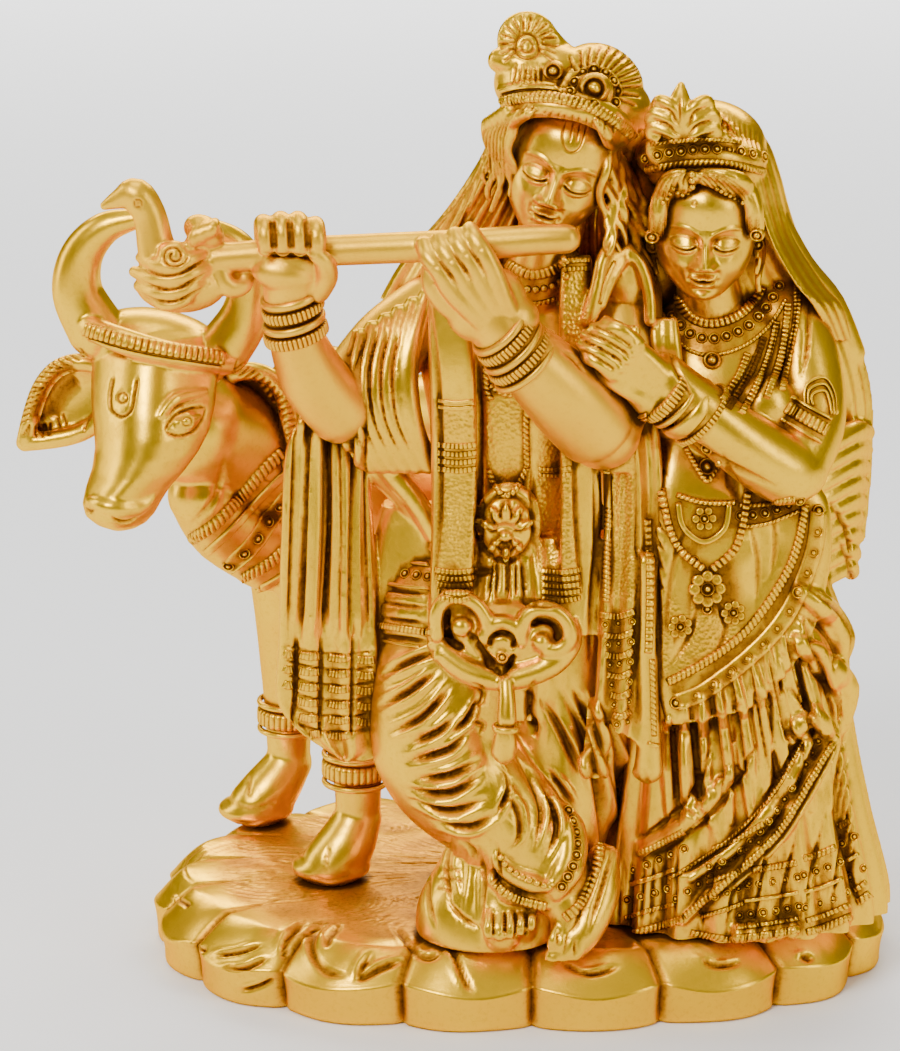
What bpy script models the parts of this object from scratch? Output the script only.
"""Cast brass statue of a flute player and his companion, with their cow, on a lobed base.

Every form is laid up in clay from balls, limbs, lofted bodies and hanging cloths, in the
statue's own drawing millimetres: x to the viewer's right, y away from the viewer, z up.
Each casting is then fused into one skin and thinned to its share of facets.
"""

import math

import bmesh
import bpy
from mathutils import Euler, Matrix, Vector
from mathutils.bvhtree import BVHTree

MM = 0.001

# The base
BASE_HALF_WIDTH = 0.083
BASE_HALF_DEPTH = 0.0595
BASE_HEIGHT = 0.016
BASE_WALL_HEIGHT = 0.0085
LOBE_COUNT = 18
LOBE_DEPTH = 0.0034
LOBE_START = math.radians(9)
SHOULDER_WIDTH = 0.006
CORNER_FULLNESS = 2.35

# The figures stand on the base by a named clearance
FIT_GAP = 0.0003
FIGURE_HEIGHT = 0.1967

# The drawing that the figures' shares are read from
DRAWN_FLOOR = 16.0
DRAWN_HEIGHT = 196.7

# The front drawing: a sheet seen from the eye, with its middle on the target
SHEET_SCALE = 4.52
SHEET_MIDDLE = (450.0, 525.5)
EYE_TARGET = Vector((-16.0, 0.0, 96.0))
EYE_DISTANCE = 800.0
EYE_PITCH = math.radians(15)

# The skin of each casting
SKIN_VOXEL = 0.0009
COUPLE_FACETS = 6100
COW_FACETS = 2400

BRASS = (0.80, 0.52, 0.13)
FULL_TURN = 2 * math.pi


def clear_scene():
    for old in list(bpy.data.objects):
        bpy.data.objects.remove(old, do_unlink=True)


def figure_scale():
    return FIGURE_HEIGHT / DRAWN_HEIGHT


def spot(x, y, z):
    """A point of the drawing, in metres, on the base's top."""
    scale = figure_scale()
    return Vector((x * scale, y * scale, (z - DRAWN_FLOOR) * scale + BASE_HEIGHT + FIT_GAP))


def sight(u, v):
    """The eye's place and its line of sight through a point of the front drawing."""
    ahead = Vector((0, math.cos(EYE_PITCH), -math.sin(EYE_PITCH)))
    above = Vector((0, math.sin(EYE_PITCH), math.cos(EYE_PITCH)))
    reach = SHEET_SCALE * EYE_DISTANCE
    across = (u - SHEET_MIDDLE[0]) / reach
    up = (SHEET_MIDDLE[1] - v) / reach
    line = ahead + Vector((1, 0, 0)) * across + above * up
    return EYE_TARGET - ahead * EYE_DISTANCE, line.normalized()


def smooth_path(points, steps):
    """Points along a smooth curve through the given ones, each a tuple of any length."""
    path = []
    last = len(points) - 1
    for i in range(last):
        before = points[max(i - 1, 0)]
        a, b = points[i], points[i + 1]
        after = points[min(i + 2, last)]
        for s in range(steps):
            t = s / steps
            path.append(tuple(
                0.5 * (2 * q + (r - p) * t + (2 * p - 5 * q + 4 * r - w) * t * t
                       + (3 * q - p - 3 * r + w) * t ** 3)
                for p, q, r, w in zip(before, a, b, after)
            ))
    path.append(tuple(points[last]))
    return path


class Clay:
    """The clay of one casting, in drawing millimetres until it is cast."""

    def __init__(self):
        self.mesh = bmesh.new()

    def ball(self, centre, radii, turn=(0, 0, 0), detail=3):
        """An egg of the given radii, turned by degrees about x, y and z."""
        angles = [math.radians(a) for a in turn]
        place = Matrix.Translation(centre) @ Euler(angles).to_matrix().to_4x4()
        place = place @ Matrix.Diagonal((*radii, 1))
        bmesh.ops.create_icosphere(self.mesh, subdivisions=detail, radius=1, matrix=place)

    def limb(self, stations, steps=4):
        """A round limb or fold through stations of x, y, z and radius, with round ends."""
        path = smooth_path(stations, steps)
        curve = bpy.data.curves.new("limb", "CURVE")
        curve.dimensions = "3D"
        curve.bevel_depth = 1
        curve.bevel_resolution = 3
        curve.use_fill_caps = True
        spline = curve.splines.new("POLY")
        spline.points.add(len(path) - 1)
        for point, (x, y, z, radius) in zip(spline.points, path):
            point.co = (x, y, z, 1)
            point.radius = radius
        guide = bpy.data.objects.new("limb", curve)
        bpy.context.scene.collection.objects.link(guide)
        graph = bpy.context.evaluated_depsgraph_get()
        tube = bpy.data.meshes.new_from_object(guide.evaluated_get(graph))
        self.mesh.from_mesh(tube)
        bpy.data.objects.remove(guide, do_unlink=True)
        bpy.data.curves.remove(curve)
        bpy.data.meshes.remove(tube)
        for x, y, z, radius in (path[0], path[-1]):
            self.ball((x, y, z), (radius, radius, radius), detail=2)

    def lay(self, points, radius, sink=0.35, steps=4, taper=0.45):
        """A raised fold laid on the clay along points of the front drawing."""
        surface = BVHTree.FromBMesh(self.mesh)
        path = smooth_path(points, steps)
        stations = []
        for i, (u, v) in enumerate(path):
            eye, line = sight(u, v)
            hit = surface.ray_cast(eye, line)[0]
            if hit is None:
                continue
            end = min(i, len(path) - 1 - i) / max(1, steps)
            size = radius * (taper + (1 - taper) * min(1.0, end))
            stations.append((*(hit - line * size * (1 - 2 * sink)), size))
        if len(stations) > 1:
            self.limb(stations, steps=1)

    def rings(self, rings):
        """A closed skin over rings of points, all of one count."""
        rows = [[self.mesh.verts.new(p) for p in ring] for ring in rings]
        count = len(rows[0])
        for low, high in zip(rows, rows[1:]):
            for i in range(count):
                j = (i + 1) % count
                self.mesh.faces.new((low[i], low[j], high[j], high[i]))
        self.mesh.faces.new(list(reversed(rows[0])))
        self.mesh.faces.new(rows[-1])

    def body(self, sections, flutes=0, depth=0.0, sides=72, steps=4, bands=()):
        """An upright body through sections of z, x, y, half width and half depth.

        Its cloth has so many flutes, which deepen from the top section to the lowest.
        Bands are the lowest and highest z, the count and the height of ribs round it."""
        stack = smooth_path(sections, steps)
        rings = []
        for row, (z, x, y, wide, deep) in enumerate(stack):
            fall = 1 - row / (len(stack) - 1)
            ring = []
            for i in range(sides):
                angle = FULL_TURN * i / sides
                swell = depth * fall * math.cos(flutes * angle) if flutes else 0.0
                if bands and bands[0] < z < bands[1]:
                    share = (z - bands[0]) / (bands[1] - bands[0])
                    swell += bands[3] * abs(math.sin(math.pi * bands[2] * share))
                ring.append((x + (wide + swell) * math.cos(angle),
                             y + (deep + swell) * math.sin(angle), z))
            rings.append(ring)
        self.rings(rings)

    def cloth(self, rows, thick, ripples=0, depth=0.0, across=40, steps=4):
        """A hanging cloth through rows of x, y, z at its left edge and at its right edge.

        It is so thick, and its front ripples so many times, so deep."""
        rings = []
        for x0, y0, z0, x1, y1, z1 in smooth_path(rows, steps):
            front, back = [], []
            for i in range(across + 1):
                t = i / across
                wave = depth * math.cos(FULL_TURN * ripples * t)
                x, y, z = (a + (b - a) * t for a, b in ((x0, x1), (y0, y1), (z0, z1)))
                edge = math.sqrt(max(0.0, 1 - (2 * t - 1) ** 6))
                front.append((x, y - (thick / 2 + wave) * edge - 0.05, z))
                back.append((x, y + thick / 2 * edge + 0.05, z))
            rings.append(front + list(reversed(back)))
        self.rings(rings)

    def cast(self, name, facets, brass):
        """Fuses the clay into one skin, cuts its foot flat and thins it to its facets."""
        bmesh.ops.recalc_face_normals(self.mesh, faces=self.mesh.faces)
        for vert in self.mesh.verts:
            vert.co = spot(*vert.co)
        mesh = bpy.data.meshes.new(name)
        self.mesh.to_mesh(mesh)
        self.mesh.free()
        solid = bpy.data.objects.new(name, mesh)
        bpy.context.scene.collection.objects.link(solid)
        skin = solid.modifiers.new("Skin", "REMESH")
        skin.mode = "VOXEL"
        skin.voxel_size = SKIN_VOXEL
        soften = solid.modifiers.new("Soften", "SMOOTH")
        soften.factor = 0.5
        soften.iterations = 3
        bake_modifiers(solid)
        keep_largest(solid.data)
        thin_out(solid, facets)
        cut_foot(solid)
        finish_casting(solid, brass)
        return solid


def bake_modifiers(solid):
    """Leaves the object with the mesh that its modifiers make."""
    graph = bpy.context.evaluated_depsgraph_get()
    made = bpy.data.meshes.new_from_object(solid.evaluated_get(graph))
    solid.modifiers.clear()
    old, solid.data = solid.data, made
    bpy.data.meshes.remove(old)
    made.name = solid.name


def keep_largest(mesh):
    """Removes crumbs that the skin left loose from the casting."""
    work = bmesh.new()
    work.from_mesh(mesh)
    left = set(work.verts)
    shells = []
    while left:
        shell, edge = set(), [left.pop()]
        while edge:
            vert = edge.pop()
            shell.add(vert)
            for link in vert.link_edges:
                other = link.other_vert(vert)
                if other in left:
                    left.discard(other)
                    edge.append(other)
        shells.append(shell)
    shells.sort(key=len)
    for shell in shells[:-1]:
        bmesh.ops.delete(work, geom=list(shell), context="VERTS")
    work.to_mesh(mesh)
    work.free()


def thin_out(solid, facets):
    """Collapses the skin to about so many triangles, finest where the form turns most."""
    triangles = sum(len(face.vertices) - 2 for face in solid.data.polygons)
    thin = solid.modifiers.new("Thin", "DECIMATE")
    thin.ratio = facets / triangles
    thin.use_collapse_triangulate = True
    bake_modifiers(solid)


def cut_foot(solid):
    """Cuts the casting off flat at the clearance above the base's top."""
    floor = BASE_HEIGHT + FIT_GAP
    work = bmesh.new()
    work.from_mesh(solid.data)
    everything = work.verts[:] + work.edges[:] + work.faces[:]
    cut = bmesh.ops.bisect_plane(
        work, geom=everything, dist=1e-6, plane_co=(0, 0, floor), plane_no=(0, 0, -1),
        clear_outer=True)
    rim = [edge for edge in cut["geom_cut"] if isinstance(edge, bmesh.types.BMEdge)]
    bmesh.ops.triangle_fill(work, edges=rim, use_beauty=True, normal=(0, 0, -1))
    bmesh.ops.recalc_face_normals(work, faces=work.faces)
    bmesh.ops.triangulate(work, faces=work.faces)
    work.to_mesh(solid.data)
    work.free()


def finish_casting(solid, brass):
    solid.data.materials.clear()
    solid.data.materials.append(brass)
    solid.data.shade_smooth()
    solid.data.set_sharp_from_angle(angle=math.radians(50))


def brass_material():
    brass = bpy.data.materials.new("Antique brass")
    brass.use_nodes = True
    shader = brass.node_tree.nodes["Principled BSDF"]
    shader.inputs["Base Color"].default_value = (*BRASS, 1)
    shader.inputs["Roughness"].default_value = 0.32
    shader.inputs["Metallic"].default_value = 1.0
    return brass


# The base


def lobed_ring(inset, z, lobe_share, sides):
    """One outline of the base, drawn in by inset, with its share of the lobes' depth."""
    ring = []
    for i in range(sides):
        angle = FULL_TURN * i / sides
        groove = 1 - abs(math.sin(LOBE_COUNT * (angle + LOBE_START) / 2)) ** 0.7
        draw = inset + LOBE_DEPTH * lobe_share * groove
        cos, sin = math.cos(angle), math.sin(angle)
        full = (abs(cos) ** CORNER_FULLNESS + abs(sin) ** CORNER_FULLNESS) ** (-1 / CORNER_FULLNESS)
        ring.append(((BASE_HALF_WIDTH - draw) * cos * full,
                     (BASE_HALF_DEPTH - draw) * sin * full, z))
    return ring


def build_base(brass):
    """The lobed plate: an upright wall, a sloping shoulder and a flat top."""
    sides = LOBE_COUNT * 6
    profile = (
        (0.0006, 0.0, 1.0),
        (0.0, 0.001, 1.0),
        (0.0, BASE_WALL_HEIGHT, 1.0),
        (SHOULDER_WIDTH * 0.35, BASE_WALL_HEIGHT + (BASE_HEIGHT - BASE_WALL_HEIGHT) * 0.55, 0.8),
        (SHOULDER_WIDTH, BASE_HEIGHT, 0.45),
    )
    clay = Clay()
    clay.rings([lobed_ring(inset, z, share, sides) for inset, z, share in profile])
    bmesh.ops.recalc_face_normals(clay.mesh, faces=clay.mesh.faces)
    mesh = bpy.data.meshes.new("base")
    clay.mesh.to_mesh(mesh)
    clay.mesh.free()
    base = bpy.data.objects.new("base", mesh)
    bpy.context.scene.collection.objects.link(base)
    finish_casting(base, brass)
    return base


# The flute player


def lay_player_body(clay):
    clay.body([
        (64, -5, -28, 19, 15), (76, -6, -28, 21, 16), (90, -6, -27, 19.5, 15.5),
        (104, -4, -27, 16.5, 13.5), (116, -3, -27, 16, 12.5), (130, -2, -27, 19, 13.5),
        (143, -1, -26, 22, 13), (150, 0, -25, 21, 10.5), (155, 1, -25, 12, 8),
    ])
    clay.limb([(0, -27, 150, 8.5), (3.6, -30, 161, 7), (5.6, -32, 172, 7)])


def lay_player_head(clay):
    tilt = (-8, 18, 0)
    clay.ball((6.6, -31.6, 182.6), (11.4, 12.4, 13), tilt)
    clay.ball((4.3, -37.6, 176.2), (7.2, 6.6, 7.2), tilt)
    clay.limb([(5.9, -43.4, 184.6, 0.9), (5.1, -46.4, 178.2, 1.9)])
    clay.ball((3.6, -43.6, 173.2), (3.1, 2.2, 1.6), tilt)
    clay.ball((2.9, -42.4, 170.4), (3.4, 3, 2.4), tilt)
    for side in (-1, 1):
        clay.ball((6.1 + 4.3 * side, -41, 181.6 - 1.6 * side), (2.5, 2.1, 1.6), tilt)
    # turban: a full dome with a bulge on the right, and the ribbed fan on its left
    clay.ball((10, -28.5, 195.6), (17.6, 15, 9.4), (0, 14, 0))
    clay.ball((4, -29, 198.6), (11, 11, 8.4), (0, 0, 0))
    clay.ball((17, -27.5, 199.2), (10.6, 11.4, 8.6), (0, 26, 0))
    clay.limb([(0.4, -29, 200, 5), (-1.6, -29, 204.6, 4.2), (-1.2, -29, 207, 5)])
    clay.ball((-0.8, -29, 206.8), (7, 3.4, 6.2), (0, 32, 0))
    clay.ball((13.6, -42.6, 196.2), (4.8, 2.6, 4.8), (0, 14, 0))
    clay.lay([(493, 106), (530, 97), (570, 101), (610, 118), (638, 140)], 2.3, sink=0.25)


def lay_player_hair(clay):
    clay.cloth([
        (-6, -27, 191, 20, -24, 188), (-10, -23, 181, 19, -22, 180),
        (-17, -21, 170, 18, -20, 168), (-26, -18, 159, 20, -19, 156),
        (-31, -15, 150, 23, -19, 147),
    ], 11, ripples=8, depth=0.7)
    for step in range(4):
        shift = 2.4 * step
        clay.limb([(16.5 + 1.3 * step, -33 + shift, 183 - 2 * step, 2),
                   (20.6 + 0.8 * step, -34 + shift, 173, 2.2),
                   (17.6 + 1.3 * step, -35 + shift, 166, 2),
                   (21.6, -36 + shift, 158, 1.5)])
    clay.limb([(-7, -33, 189, 1.8), (-8.4, -33.4, 183, 2.3), (-7, -34, 176, 1.8)])


def lay_hand(clay, centre, across, along, size):
    """A closed hand about the flute: a palm block with four finger ridges and a thumb."""
    centre, across, along = Vector(centre), Vector(across), Vector(along)
    out = across.cross(along)
    if out.y > 0:
        out = -out
    clay.ball(centre, (size, size * 0.72, size * 0.86))
    for finger in range(4):
        root = centre + across * size * (0.52 * finger - 0.78)
        stations = [
            root - along * size * 0.75 + out * size * 0.45,
            root + along * size * 0.15 + out * size * 0.85,
            root + along * size * 0.85 + out * size * 0.3,
            root + along * size * 0.8 - out * size * 0.35,
        ]
        clay.limb([(*p, size * 0.25) for p in stations])


def lay_player_arms(clay):
    # right arm, on the viewer's left: shoulder, elbow and raised forearm
    clay.limb([(-20, -24, 148, 8.6), (-29, -28, 142, 8.4), (-38, -36, 133, 7.4)])
    clay.limb([(-39, -38, 131, 7.2), (-44.4, -42, 139, 7), (-48, -47, 150, 5.5),
               (-48.6, -50, 159, 5.4)])
    lay_hand(clay, (-48.6, -52, 167), (1, 0, 0.04), (0, 0, 1), 8.4)
    # left arm, on the viewer's right: its forearm crosses the chest up to the flute
    clay.limb([(20, -27, 152, 8.6), (19.4, -35, 140, 8.6), (15.4, -43, 129.5, 8.6)])
    clay.limb([(15, -44, 128.5, 9), (6.4, -49, 138, 8.6), (-4, -54, 149.5, 6.4),
               (-8.5, -54.5, 156.5, 5.8)])
    lay_hand(clay, (-13.6, -54, 164.4), (0.87, 0, -0.3), (-0.32, 0, 0.95), 8.2)
    for z, x, y in ((148.6, -47.9, -46.6), (152.4, -48.4, -47.6)):
        clay.ball((x, y, z), (6.4, 6.4, 1.5), (14, -4, 0))
    for x, y, z in ((-2.6, -53.3, 148), (-4.8, -54, 151.2)):
        clay.ball((x, y, z), (7.4, 7.4, 1.7), (20, -42, 0))


def lay_flute(clay):
    clay.limb([(-64, -52, 165.5, 3), (-48, -52, 166.8, 3.1), (-15, -52.6, 168.4, 3.2),
               (2, -53, 169.6, 3.1), (9, -53, 169.8, 1.5)])
    # peacock finial: neck, head and beak over a lotus of curled leaves
    clay.limb([(-73.4, -52, 161, 5), (-75, -52, 168, 4), (-76.4, -52, 174.5, 3.6),
               (-79.4, -52, 179, 3.6), (-82.5, -52, 177.8, 2.2), (-85.8, -52, 176.6, 1.1)])
    clay.ball((-70.5, -52, 160), (9.5, 5.6, 6))
    clay.ball((-70.4, -54, 163.4), (4, 5, 4))
    for height, reach in ((155.6, 8.4), (158.6, 9.6), (161.6, 9.6)):
        clay.limb([(-70.5 - reach, -53, height - 0.6, 1.9), (-71, -56.8, height - 2, 2),
                   (-62.5, -54.8, height + 0.8, 1.8), (-58.6, -52.5, height + 3, 1.4)])
    clay.ball((-65.4, -52, 169.4), (4.2, 4, 3.4))
    clay.cloth([(-64, -52, 166, -54, -52, 165.5), (-62.5, -52, 158, -55, -52, 159.6)], 6)


def lay_scarf(clay):
    """The scarf over the player's right arm, hanging in front of the cow."""
    clay.cloth([
        (-43, -36, 133, -34, -31, 133), (-50, -37, 124, -33.5, -31, 122),
        (-51.6, -38, 104, -32, -33, 102), (-52.4, -38, 80, -31, -36, 80),
        (-53, -38, 68, -30.4, -38, 64), (-48.6, -38, 61, -30.6, -38, 55.5),
        (-40, -38, 55, -37, -38, 54),
    ], 5, ripples=4, depth=1.3, across=48)
    clay.limb([(-34, -30, 119, 4), (-27, -31, 113, 4), (-22, -32, 106, 3.4), (-18, -33, 100, 3)])
    for fold in range(5):
        slide = fold / 4
        clay.limb([(-22 - 13 * slide, -33 - 2 * slide, 153 - 7 * slide, 2),
                   (-26 - 10 * slide, -38 - slide, 140 - 6 * slide, 2.7),
                   (-25 - 10 * slide, -38.6, 128 - 3 * slide, 2.6),
                   (-21 - 11 * slide, -37, 119, 2.4)], steps=4)
    clay.cloth([(-30.5, -27, 108, -14, -32, 108), (-32.5, -29, 100, -14, -32, 98),
                (-33, -31, 86, -14, -34, 85), (-32, -33, 70, -14, -36, 70)], 10)


def lay_long_bands(clay):
    """The scarf's two bands down the chest, and the long stole between the figures."""
    clay.cloth([(-20.5, -38.5, 158, -13, -41.5, 158), (-20.5, -41.5, 142, -10.8, -44, 142),
                (-20, -41, 120, -10.3, -43.5, 120), (-20, -43, 104, -10.8, -45, 104),
                (-20.5, -45, 86, -12, -47, 86)], 4.4)
    clay.cloth([(5, -42, 168, 13, -38.5, 168), (6.4, -42.4, 148, 15, -39, 148),
                (7, -42.8, 118, 15.6, -40, 118), (7, -44, 100, 15.6, -41, 100),
                (8, -45, 84, 15.6, -43, 84)], 4.4)
    clay.cloth([(16, -38, 142, 26, -37.5, 140), (17, -40, 118, 28.6, -39, 118),
                (16, -42.6, 98, 28.6, -41.6, 98), (15, -45, 80, 27.4, -44, 78),
                (14.4, -46.5, 68, 24.5, -46.5, 60)], 6, ripples=2, depth=1.2)
    clay.limb([(15.4, -45, 68, 2.4), (15, -46, 60, 2.6), (14.6, -46, 55.6, 3)])
    clay.limb([(24.6, -45.5, 100, 2.2), (25.4, -46, 80, 2.4), (26, -47, 62, 2.6),
               (26, -47, 55, 3.2)])


def lay_belt(clay):
    """The scrolled belt clasp with its tassel, and the pleats and flower above it."""
    clay.ball((-3.6, -42.5, 108), (8.4, 3.8, 8))
    clay.cloth([(-11, -40, 104, 6.5, -40, 104), (-13, -45, 90, 8.5, -45, 90)], 4,
               ripples=4, depth=0.8)
    clay.ball((-4, -46.5, 84), (12.5, 4.6, 8))
    clay.limb([(-14, -46, 94.6, 2.4), (-18, -47, 90, 3), (-18, -48.4, 84, 3.4),
               (-12, -50, 78, 3.6), (-4, -50.6, 76, 3.6), (4.6, -50, 78, 3.6),
               (10.4, -48.4, 83.4, 3.4), (11, -47, 89.6, 3), (7.4, -46, 94, 2.4)])
    for x, z, radius in ((-13, 86.4, 3.2), (-4, 81.6, 3), (5, 86, 3.2)):
        clay.ball((x, -50.4, z), (radius, 2.4, radius))
    clay.limb([(-4.6, -49, 75, 2.7), (-4.4, -50.6, 67, 2.9), (-4.2, -50.2, 60, 3.3)])


def lay_legs(clay):
    # the crossing thigh, knee and shin, then the standing leg and its drapery
    clay.ball((-15, -31, 84), (17, 15, 16))
    clay.limb([(-9, -28, 84, 15), (-15.4, -31, 74, 17), (-17.4, -35, 62, 16.6),
               (-15, -38, 53, 15.6), (-7, -41, 45, 13.6), (1, -44.4, 38, 10.8),
               (5.4, -47.6, 31, 8)])
    clay.limb([(8, -26, 82, 15), (9, -28, 60, 15), (6, -32, 40, 13), (2, -34, 22, 12)])
    clay.body([(14, -6, -40, 15, 14), (20, -7, -40, 15.4, 13.6), (28, -7, -40, 13.6, 11),
               (38, -6, -38, 9, 8)])
    clay.limb([(-15, -46, 39, 3.2), (-19, -47, 31, 4.6), (-19.4, -48, 23, 4.8), (-16, -49, 17, 3.4)])
    clay.ball((-5, -45, 24), (9.4, 9.4, 10))
    for toe in range(5):
        clay.ball((-11.4 + 3.3 * toe, -54 + 0.2 * toe, 18.6), (1.7, 3.2, 2.4), detail=2)
    # the crossed foot stands on its toes
    clay.limb([(16.6, -45, 34, 3.4), (15.6, -49, 27.6, 4.2), (11.6, -53, 20.6, 4.2),
               (8.8, -54.6, 16.6, 3.6)])
    clay.limb([(4, -49, 30, 5), (9, -52, 24, 4.4), (8, -54, 19, 3.2)])
    # folds sweeping from the clasp round the thigh
    clay.lay([(376, 655), (405, 652), (430, 640)], 2)
    clay.lay([(377, 692), (405, 675), (434, 658)], 2.2)
    clay.lay([(380, 722), (405, 708), (438, 680)], 2.3)
    clay.lay([(392, 745), (425, 733), (450, 702)], 2.3)
    clay.lay([(402, 768), (440, 764), (474, 736)], 2.3)
    clay.lay([(418, 795), (455, 790), (492, 760)], 2.5)
    clay.lay([(440, 816), (485, 815), (508, 792), (510, 765)], 2.5)
    clay.lay([(478, 838), (515, 832), (532, 800), (524, 765)], 2.5)
    clay.lay([(520, 868), (542, 845), (548, 808), (538, 768)], 2.4)
    clay.lay([(552, 893), (578, 866), (576, 826), (556, 790)], 2.6)
    # dark hollow folds between the crossing leg and the companion
    clay.lay([(575, 690), (598, 730), (604, 790)], 2.4)
    clay.lay([(548, 690), (570, 740), (590, 800)], 2.2)
    clay.lay([(612, 770), (618, 830), (612, 880)], 2.6)


# The companion


def lay_companion_body(clay):
    clay.body([
        (DRAWN_FLOOR - 2, 47, -23, 33, 24), (22, 47, -23, 32.6, 24), (40, 46, -24, 29, 21.5),
        (60, 45, -24, 26, 19), (80, 44.5, -24, 24.5, 18), (97, 42, -24, 20.5, 15),
        (110, 41, -24, 16.5, 13.5),
    ], flutes=22, depth=1.3, sides=132, steps=14, bands=(17, 40, 4, 1.1))
    clay.body([
        (92, 42, -24, 18, 14), (110, 41, -24, 16, 13.5), (126, 41, -26, 17, 15.5),
        (137, 41, -25, 18, 14), (146, 41, -23, 17.5, 11), (151, 40.5, -23, 10, 8),
    ])
    clay.limb([(39, -25, 148, 7.4), (37.5, -29, 158, 6.2), (37, -31, 166, 6.4)])


def lay_companion_head(clay):
    clay.ball((36.8, -31.6, 171.6), (11, 12, 13))
    clay.ball((36.6, -37.6, 164.8), (7.2, 6.6, 7.6))
    clay.limb([(35.8, -43.4, 173.4, 0.9), (35.9, -46.2, 167.4, 1.9)])
    clay.ball((36.2, -43.4, 162.8), (3.1, 2.2, 1.6))
    clay.ball((36.3, -42, 159.6), (3.4, 3, 2.4))
    for side in (-1, 1):
        clay.ball((36.4 + 4.4 * side, -41.2, 170.6), (2.5, 2.1, 1.6))
        clay.ball((37 + 11.4 * side, -30, 166), (2, 3, 3.6))
    # tiara and hair line
    clay.ball((37.6, -29.5, 183), (15, 14.4, 7), (-8, 2, 0))
    clay.ball((38, -27.5, 188), (13.6, 12.6, 8), (-8, -2, 0))
    clay.ball((33, -39.6, 193.4), (5, 2.8, 7))
    clay.ball((33, -40.4, 186.4), (10.4, 2.6, 6.4))
    for side in (-1, 1):
        clay.limb([(33 + 5 * side, -40, 186, 1.8), (33 + 9.6 * side, -37.6, 190.6, 2),
                   (33 + 7.4 * side, -38, 195, 1.7)])
    clay.lay([(640, 172), (665, 166), (710, 164), (768, 172)], 1.9, sink=0.25)


def lay_veil(clay):
    """The veil over her head, down her back and round her left arm."""
    clay.ball((39.6, -24, 184.6), (14.4, 13, 10))
    clay.limb([(48, -30, 187, 3.6), (52.4, -30, 178, 4), (54.6, -28, 168, 4.4),
               (59, -25, 158, 4.4), (64, -21, 149, 4.6)])
    clay.body([
        (96, 58, -12, 16, 9), (112, 57.6, -11, 17.6, 9), (130, 55.4, -12, 19, 9.5),
        (146, 50, -15, 18.5, 10), (158, 44, -17, 15, 9.5), (172, 42, -19, 12.5, 11),
        (186, 40, -22, 11, 10),
    ], flutes=26, depth=0.7, sides=120)
    # the end gathered in folds behind the elbow and down the side
    for fold in range(5):
        z = 118 - 6.2 * fold
        clay.limb([(56, -30 + fold, z - 5, 2.4), (63, -29 + fold, z - 1.6, 3),
                   (70, -22 + fold, z + 0.4, 3.2), (74 - 0.5 * fold, -13, z - 2, 2.8)])


def lay_companion_arm(clay):
    clay.limb([(53.4, -22, 147, 8.2), (57.4, -27, 138, 8.2), (58, -34, 127, 7.6),
               (54, -41, 119, 7.4)])
    clay.limb([(54, -42, 118.6, 7.6), (44, -46, 126, 7), (34, -47.5, 134.4, 5.8),
               (28, -47, 139.6, 5.2)])
    clay.ball((23.8, -46.6, 143.4), (6.4, 4, 5.8), (0, 42, 0))
    for finger in range(4):
        step = 2.3 * finger
        clay.limb([(25 + step * 0.3, -49.4, 148.4 - 1.5 * step, 1.6),
                   (19.8 + step * 0.35, -50.2, 151 - 1.6 * step, 1.5),
                   (15 + step * 0.4, -48.4, 149.6 - 1.6 * step, 1.35)])
    clay.ball((38.4, -47.4, 131.2), (2.6, 7.4, 7.2), (0, -36, 0))
    clay.ball((33.4, -47.8, 135.4), (2.2, 6.8, 6.8), (0, -36, 0))
    clay.ball((58.6, -31.6, 130.6), (8.9, 8.9, 1.7), (35, 10, 0))


def lay_dress(clay):
    """Collar, necklaces, the sari's swept border and the bands of its hem."""
    clay.lay([(668, 290), (690, 318), (720, 322), (752, 300), (768, 276)], 1.8)
    clay.lay([(655, 300), (682, 338), (722, 344), (764, 318), (784, 286)], 2)
    clay.lay([(648, 330), (672, 372), (712, 396), (752, 382), (786, 330)], 1.5)
    # the crossed folds of the bodice and the long necklace with its pendant
    clay.lay([(776, 330), (758, 372), (735, 415)], 2)
    clay.lay([(792, 344), (776, 380), (752, 420)], 2)
    clay.lay([(656, 440), (668, 500), (690, 556), (702, 572)], 1.6)
    clay.lay([(746, 470), (744, 520), (730, 556), (708, 570)], 1.6)
    clay.lay([(672, 504), (705, 512), (742, 502)], 2)
    clay.lay([(690, 532), (706, 542), (722, 530)], 3.6)
    clay.lay([(696, 588), (710, 590)], 3.2)
    # the sari's end, swept up to the left arm, with its broad border
    clay.cloth([(30, -41.6, 112, 57, -36, 116), (28, -43, 98, 60, -37, 104),
                (26.5, -44.6, 84, 56, -40, 92), (26, -45.6, 76, 40, -44, 80)], 4.5)
    clay.lay([(670, 680), (715, 658), (760, 618), (792, 566), (806, 505)], 2)
    clay.lay([(668, 702), (725, 676), (775, 634), (808, 580), (820, 510)], 2.6)
    # skirt pleats below the border
    for pleat in range(6):
        u = 684 + 22 * pleat
        clay.lay([(u - 2 * pleat, 712 - 15 * pleat), (u, 770 - 6 * pleat), (u + 3, 826 - 3 * pleat)],
                 2.2)
    # the other end falls in steps down the right side
    clay.lay([(800, 592), (826, 612), (842, 640), (838, 668)], 3.4)
    clay.lay([(796, 640), (824, 664), (846, 690), (842, 730)], 3.4)
    clay.lay([(790, 742), (812, 716), (832, 740)], 3)
    clay.lay([(836, 740), (812, 779), (778, 834), (731, 879), (684, 922)], 2.3)
    clay.lay([(812, 738), (782, 790), (744, 838), (690, 880)], 2)
    clay.lay([(730, 772), (706, 806), (668, 838), (640, 856)], 2)
    clay.lay([(622, 942), (655, 930), (684, 922)], 2)
    clay.lay([(700, 944), (740, 941), (800, 932), (852, 914)], 1.8)
    for toe in range(5):
        clay.ball((45.6 + 2.9 * toe, -47.8 + 0.5 * toe, 18.4), (1.6, 3, 2.2), detail=2)


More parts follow.
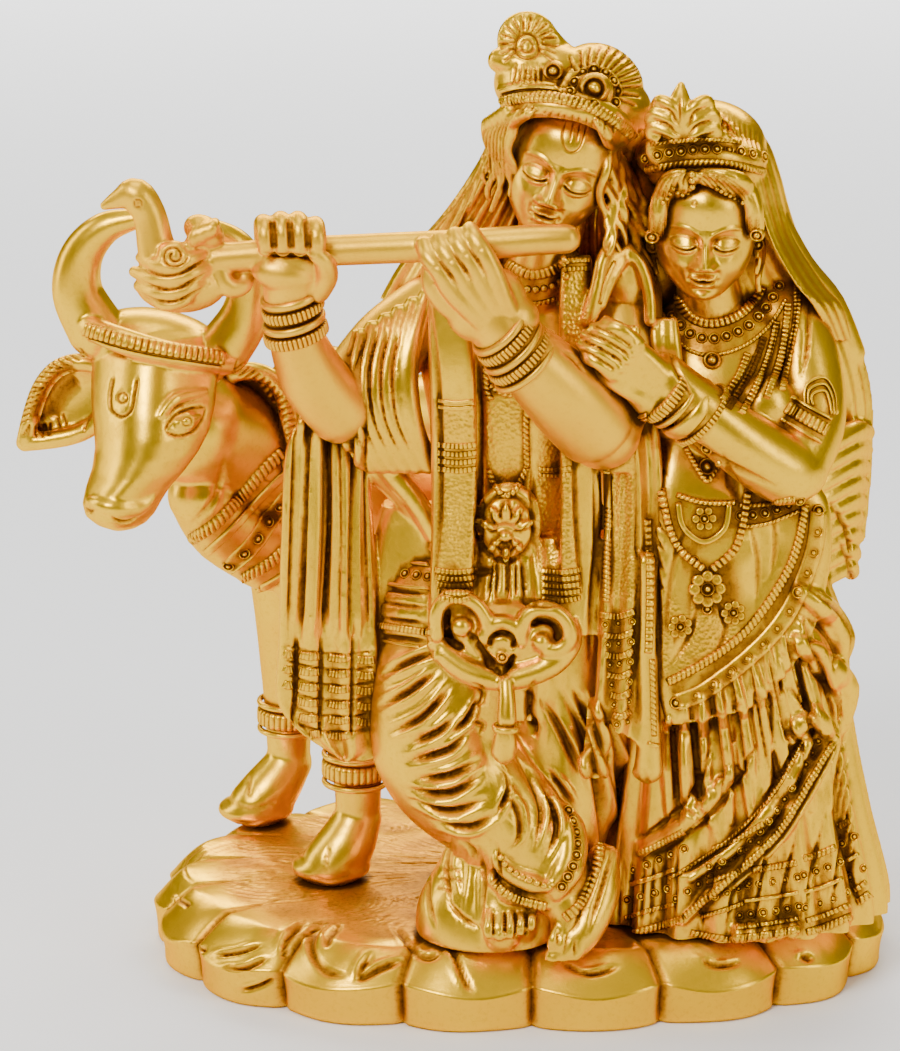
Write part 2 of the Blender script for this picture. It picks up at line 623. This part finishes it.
def build_couple(brass):
    clay = Clay()
    lay_player_body(clay)
    lay_companion_body(clay)
    lay_legs(clay)
    lay_veil(clay)
    lay_long_bands(clay)
    lay_belt(clay)
    lay_dress(clay)
    lay_player_hair(clay)
    lay_player_head(clay)
    lay_companion_head(clay)
    lay_scarf(clay)
    lay_player_arms(clay)
    lay_companion_arm(clay)
    lay_flute(clay)
    return clay.cast("couple_with_flute", COUPLE_FACETS, brass)


# The cow


def lay_cow_body(clay):
    clay.limb([(-52, 11, 104, 19), (-38, 14, 103, 22), (-12, 21, 104, 21.5), (10, 28, 104, 21),
               (26, 33, 106, 19.5), (33, 35, 106, 16)])
    clay.ball((-50, 10, 98), (15, 17, 20))
    clay.ball((-44, 13, 124), (13, 8.5, 9.5))
    clay.limb([(-58, 4, 112, 17.5), (-66, -7, 118, 15.5), (-72, -18, 124, 13.5)])
    clay.limb([(-56, 4, 92, 12), (-66, -8, 98, 9), (-73, -20, 108, 7)])
    clay.limb([(42, 40, 112, 2.4), (48, 43, 98, 2), (47, 43, 70, 1.8), (46, 42, 50, 2.8),
               (45.6, 42, 42, 2)])


def lay_cow_leg(clay, hip, knee, hoof):
    """One leg from the hip past the knee to a flared hoof, with its anklet."""
    hip, knee, hoof = Vector(hip), Vector(knee), Vector(hoof)
    fetlock = Vector((hoof.x + 1.5, hoof.y + 1, 29))
    clay.limb([(*hip, 11), (*((hip + knee) / 2), 8.6), (*knee, 6.8), (*fetlock, 5.2)])
    clay.ball((knee.x, knee.y, 42), (7.8, 7.8, 3.6))
    clay.limb([(*fetlock, 5.8), (hoof.x - 1.5, hoof.y - 1.5, 22, 7.2),
               (hoof.x - 3, hoof.y - 2.5, 18.5, 6.8)])
    clay.ball((hoof.x - 1.5, hoof.y - 1, 18), (9, 7.6, 4.4))


def lay_cow_head(clay):
    clay.limb([(-74, -22, 137, 15), (-76.6, -31, 132.6, 14.4), (-79.6, -37, 123, 12),
               (-82, -41, 115, 9.8), (-83.4, -43.4, 110.4, 9.2)])
    clay.ball((-76.8, -27, 140), (16, 11.5, 9.4), (0, 12, 0))
    clay.ball((-83.4, -45, 108.6), (9.2, 6.6, 5.4), (0, 14, 0))
    clay.limb([(-62.6, -24, 129, 7.4), (-69, -33, 118, 6.6), (-75, -38, 110, 5)])
    clay.ball((-67.6, -34.6, 128), (3, 3, 2.2), (0, 14, 0), detail=2)
    clay.ball((-89, -34.6, 130.6), (2.6, 3, 2.2), (0, 14, 0), detail=2)
    # the ribbed brow band and the horns in the form of a lyre
    clay.limb([(-92.4, -31, 149, 2.6), (-84.6, -38.6, 147, 3.2), (-74, -39.6, 143.8, 3.2),
               (-62.6, -33, 140.6, 2.8)])
    clay.limb([(-90.4, -28, 147, 5.8), (-93.6, -28.4, 154, 5.2), (-92.6, -29.4, 162, 4.4),
               (-87.6, -31, 167.6, 3.4), (-80.6, -32.6, 169.8, 2)])
    clay.limb([(-63.4, -28, 142, 5.8), (-59, -28.4, 149, 5.2), (-57.6, -29.4, 157.6, 4.4),
               (-60.8, -31, 164.6, 3.4), (-66.6, -32.4, 168.6, 2)])


def lay_cow_ear(clay, root, tip, spread, dish):
    """A leaf-shaped ear: a flat shell with a thick rolled rim, dished on its front."""
    root, tip, spread = Vector(root), Vector(tip), Vector(spread)
    rims = {}
    for side in (-1, 1):
        stations = []
        for step in range(7):
            t = step / 6
            bulge = math.sin(math.pi * t ** 0.75)
            p = root.lerp(tip, t) + spread * side * bulge
            stations.append((*p, 2.2))
        rims[side] = stations
        clay.limb(stations, steps=3)
    rows = []
    for low, high in zip(rims[-1], rims[1]):
        rows.append((low[0], low[1] + dish, low[2], high[0], high[1] + dish, high[2]))
    rings = []
    for x0, y0, z0, x1, y1, z1 in rows:
        shell = []
        for i in range(9):
            t = i / 8
            p = Vector((x0, y0, z0)).lerp(Vector((x1, y1, z1)), t)
            shell.append((p.x, p.y + 1.2 * math.sin(math.pi * t), p.z))
        rings.append(shell + [(x, y + 2.6, z) for x, y, z in reversed(shell)])
    clay.rings(rings)


def build_cow(brass):
    clay = Clay()
    lay_cow_body(clay)
    lay_cow_head(clay)
    lay_cow_ear(clay, (-89, -22, 136), (-107, -20, 119.5), (-4.4, 0, 5.6), 0.6)
    lay_cow_ear(clay, (-63, -18, 134), (-51, -13, 113.5), (5.6, 0, 5), 0.6)
    lay_cow_leg(clay, (-52, 26, 84), (-58, 33, 48), (-60, 33, 18))
    lay_cow_leg(clay, (-44, 2, 86), (-39, -3, 50), (-40.5, -6, 18))
    lay_cow_leg(clay, (30, 24, 88), (32, 23, 50), (29, 22, 18))
    lay_cow_leg(clay, (26, 40, 88), (24, 44, 50), (20, 44, 18))
    # two collars round the foot of the neck
    clay.lay([(300, 470), (240, 490), (185, 545)], 2.2)
    clay.lay([(298, 530), (262, 556), (215, 590)], 2.4)
    return clay.cast("cow", COW_FACETS, brass)


def main():
    clear_scene()
    brass = brass_material()
    statue = bpy.data.collections.new("Radha Krishna statue")
    bpy.context.scene.collection.children.link(statue)
    for solid in (build_base(brass), build_couple(brass), build_cow(brass)):
        bpy.context.scene.collection.objects.unlink(solid)
        statue.objects.link(solid)


main()
